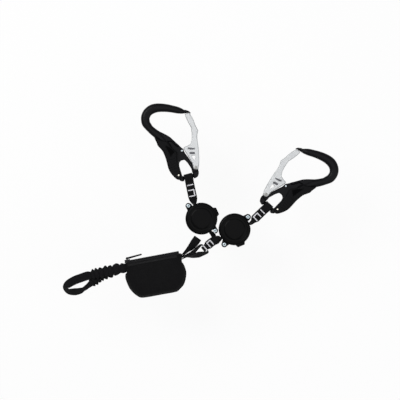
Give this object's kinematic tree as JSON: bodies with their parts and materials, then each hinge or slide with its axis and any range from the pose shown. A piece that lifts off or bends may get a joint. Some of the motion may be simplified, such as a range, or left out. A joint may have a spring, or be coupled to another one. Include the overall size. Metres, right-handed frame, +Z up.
{
  "type": "via ferrata lanyard",
  "caption": "Via ferrata lanyard laid out flat: palm-lock carabiners on retracting webbing arms, an energy absorber in a zipped pouch and a tie-in loop.",
  "frame": {"origin": "centre of the laid-out lanyard's bounding box, on the surface it lies on", "axes": "+X to the picture's right, +Y to the picture's top, +Z up out of the surface"},
  "size_m": [0.4284, 0.2998, 0.026],
  "materials": {
    "webbing": "black woven polyamide webbing, matt",
    "thread": "white bar-tack thread",
    "pouch_fabric": "black woven pouch cloth, matt",
    "elastic": "black gathered elastic tube",
    "case_plastic": "black moulded plastic, satin to gloss",
    "lever_plastic": "black moulded plastic, matt",
    "black_anodised": "black anodised, satin",
    "bare_aluminium": "light silver, satin",
    "steel": "bluish silver, satin",
    "zip_plastic": "black plastic, satin"
  },
  "bodies": {
    "pouch": {"pouch_front_panel": "pouch_fabric", "pouch_back_panel": "pouch_fabric", "zip_tape": "pouch_fabric", "zip_coil": "zip_plastic", "absorber_pack": "webbing", "absorber_band": "elastic", "absorber_end_loop": "webbing", "rest_loop": "webbing", "elastic_sleeve_upper": "elastic", "elastic_sleeve_lower": "elastic", "tie_in_loop": "webbing"},
    "zip_slider": {"zip_slider": "steel"},
    "zip_pull_tab": {"zip_pull_tab": "zip_plastic"},
    "trunk": {"trunk_web": "webbing", "left_branch_web": "webbing", "trunk_bar_tacks": "thread", "trunk_end_bar_tack": "thread"},
    "left_case": {"left_case_lower_shell": "case_plastic", "left_case_upper_shell": "case_plastic", "left_case_screw_a": "steel", "left_case_screw_b": "steel", "left_drum_axle": "steel", "left_clock_spring": "steel"},
    "left_drum": {"left_drum": "case_plastic", "left_stored_web": "webbing"},
    "left_arm": {"left_arm_web": "webbing", "left_arm_single_bar_tack": "thread", "left_arm_bar_tacks": "thread"},
    "left_carabiner": {"left_carabiner_frame": "black_anodised", "left_gate_rivet": "steel", "left_lever_pin": "steel", "left_pawl_pin": "steel"},
    "left_gate": {"left_gate": "bare_aluminium"},
    "left_palm_lever": {"left_palm_lever": "lever_plastic"},
    "left_lock_pawl": {"left_lock_pawl": "steel"},
    "right_case": {"right_case_lower_shell": "case_plastic", "right_case_upper_shell": "case_plastic", "right_case_screw_a": "steel", "right_case_screw_b": "steel", "right_drum_axle": "steel", "right_clock_spring": "steel"},
    "right_drum": {"right_drum": "case_plastic", "right_stored_web": "webbing"},
    "right_arm": {"right_arm_web": "webbing", "right_arm_single_bar_tack": "thread", "right_arm_bar_tacks": "thread"},
    "right_carabiner": {"right_carabiner_frame": "black_anodised", "right_gate_rivet": "steel", "right_lever_pin": "steel", "right_pawl_pin": "steel"},
    "right_gate": {"right_gate": "bare_aluminium"},
    "right_palm_lever": {"right_palm_lever": "lever_plastic"},
    "right_lock_pawl": {"right_lock_pawl": "steel"}
  },
  "joints": [
    {"name": "zip_slide", "type": "slide", "parent": "pouch", "child": "zip_slider", "axis": [0.9833, 0.1822, 0], "range_m": [0, 0.07]},
    {"name": "zip_tab_flip", "type": "hinge", "parent": "zip_slider", "child": "zip_pull_tab", "pos_m": [-0.11346, -0.08972, 0.0125], "axis": [0, 0, 1], "range_deg": [-3, 165]},
    {"name": "trunk_lift", "type": "hinge", "parent": "pouch", "child": "trunk", "pos_m": [0.00759, -0.07326, 0.00975], "axis": [0.6521, -0.7581, 0], "range_deg": [0, 26]},
    {"name": "left_arm_payout", "type": "slide", "parent": "left_case", "child": "left_arm", "axis": [-0.2045, 0.9789, 0], "range_m": [0, 0.25], "stiffness_N_per_m": 8, "springref_m": -0.4},
    {"name": "left_case_slide", "type": "slide", "parent": "trunk", "child": "left_case", "axis": [-0.4289, 0.9033, 0], "range_m": [0, 0.25]},
    {"name": "left_drum_spin", "type": "hinge", "parent": "left_case", "child": "left_drum", "pos_m": [0.00175, -0.02815, 0], "axis": [0, 0, 1], "range_deg": [0, 960]},
    {"name": "left_carabiner_swivel", "type": "hinge", "parent": "left_arm", "child": "left_carabiner", "pos_m": [-0.01843, 0.03672, 0.0082], "axis": [0.9664, 0.2571, 0], "range_deg": [-100, 100]},
    {"name": "left_gate_hinge", "type": "hinge", "parent": "left_carabiner", "child": "left_gate", "pos_m": [-0.00697, 0.05121, 0.0082], "axis": [0, 0, 1], "range_deg": [0, 15], "stiffness_Nm_per_rad": 0.12, "springref_deg": -20.05},
    {"name": "left_lever_hinge", "type": "hinge", "parent": "left_carabiner", "child": "left_palm_lever", "pos_m": [-0.03342, 0.03909, 0.0082], "axis": [0, 0, -1], "range_deg": [0, 4], "stiffness_Nm_per_rad": 0.6, "springref_deg": -11.46},
    {"name": "left_pawl_turn", "type": "hinge", "parent": "left_carabiner", "child": "left_lock_pawl", "pos_m": [-0.02831, 0.07717, 0.0082], "axis": [0, 0, -1], "range_deg": [-12.1, 0]},
    {"name": "right_arm_payout", "type": "slide", "parent": "right_case", "child": "right_arm", "axis": [0.7193, 0.6947, 0], "range_m": [0, 0.25], "stiffness_N_per_m": 8, "springref_m": -0.4},
    {"name": "right_case_slide", "type": "slide", "parent": "trunk", "child": "right_case", "axis": [0.9272, 0.3746, 0], "range_m": [0, 0.25]},
    {"name": "right_drum_spin", "type": "hinge", "parent": "right_case", "child": "right_drum", "pos_m": [0.05303, -0.04471, 0], "axis": [0, 0, 1], "range_deg": [0, 960]},
    {"name": "right_carabiner_swivel", "type": "hinge", "parent": "right_arm", "child": "right_carabiner", "pos_m": [0.10509, -0.00881, 0.0082], "axis": [-0.7373, 0.6756, 0], "range_deg": [-100, 100]},
    {"name": "right_gate_hinge", "type": "hinge", "parent": "right_carabiner", "child": "right_gate", "pos_m": [0.10165, 0.00933, 0.0082], "axis": [0, 0, -1], "range_deg": [0, 15], "stiffness_Nm_per_rad": 0.12, "springref_deg": -20.05},
    {"name": "right_lever_hinge", "type": "hinge", "parent": "right_carabiner", "child": "right_palm_lever", "pos_m": [0.11947, -0.01366, 0.0082], "axis": [0, 0, 1], "range_deg": [0, 4], "stiffness_Nm_per_rad": 0.6, "springref_deg": -11.46},
    {"name": "right_pawl_turn", "type": "hinge", "parent": "right_carabiner", "child": "right_lock_pawl", "pos_m": [0.13258, 0.02246, 0.0082], "axis": [0, 0, 1], "range_deg": [-12.1, 0]}
  ],
  "couplings": [
    {"joint": "left_case_slide", "follows": "left_arm_payout", "ratio": 1},
    {"joint": "left_drum_spin", "follows": "left_arm_payout", "rad_per_m": 66.7},
    {"joint": "left_pawl_turn", "follows": "left_lever_hinge", "ratio": -3},
    {"joint": "right_case_slide", "follows": "right_arm_payout", "ratio": 1},
    {"joint": "right_drum_spin", "follows": "right_arm_payout", "rad_per_m": 66.7},
    {"joint": "right_pawl_turn", "follows": "right_lever_hinge", "ratio": -3}
  ]
}
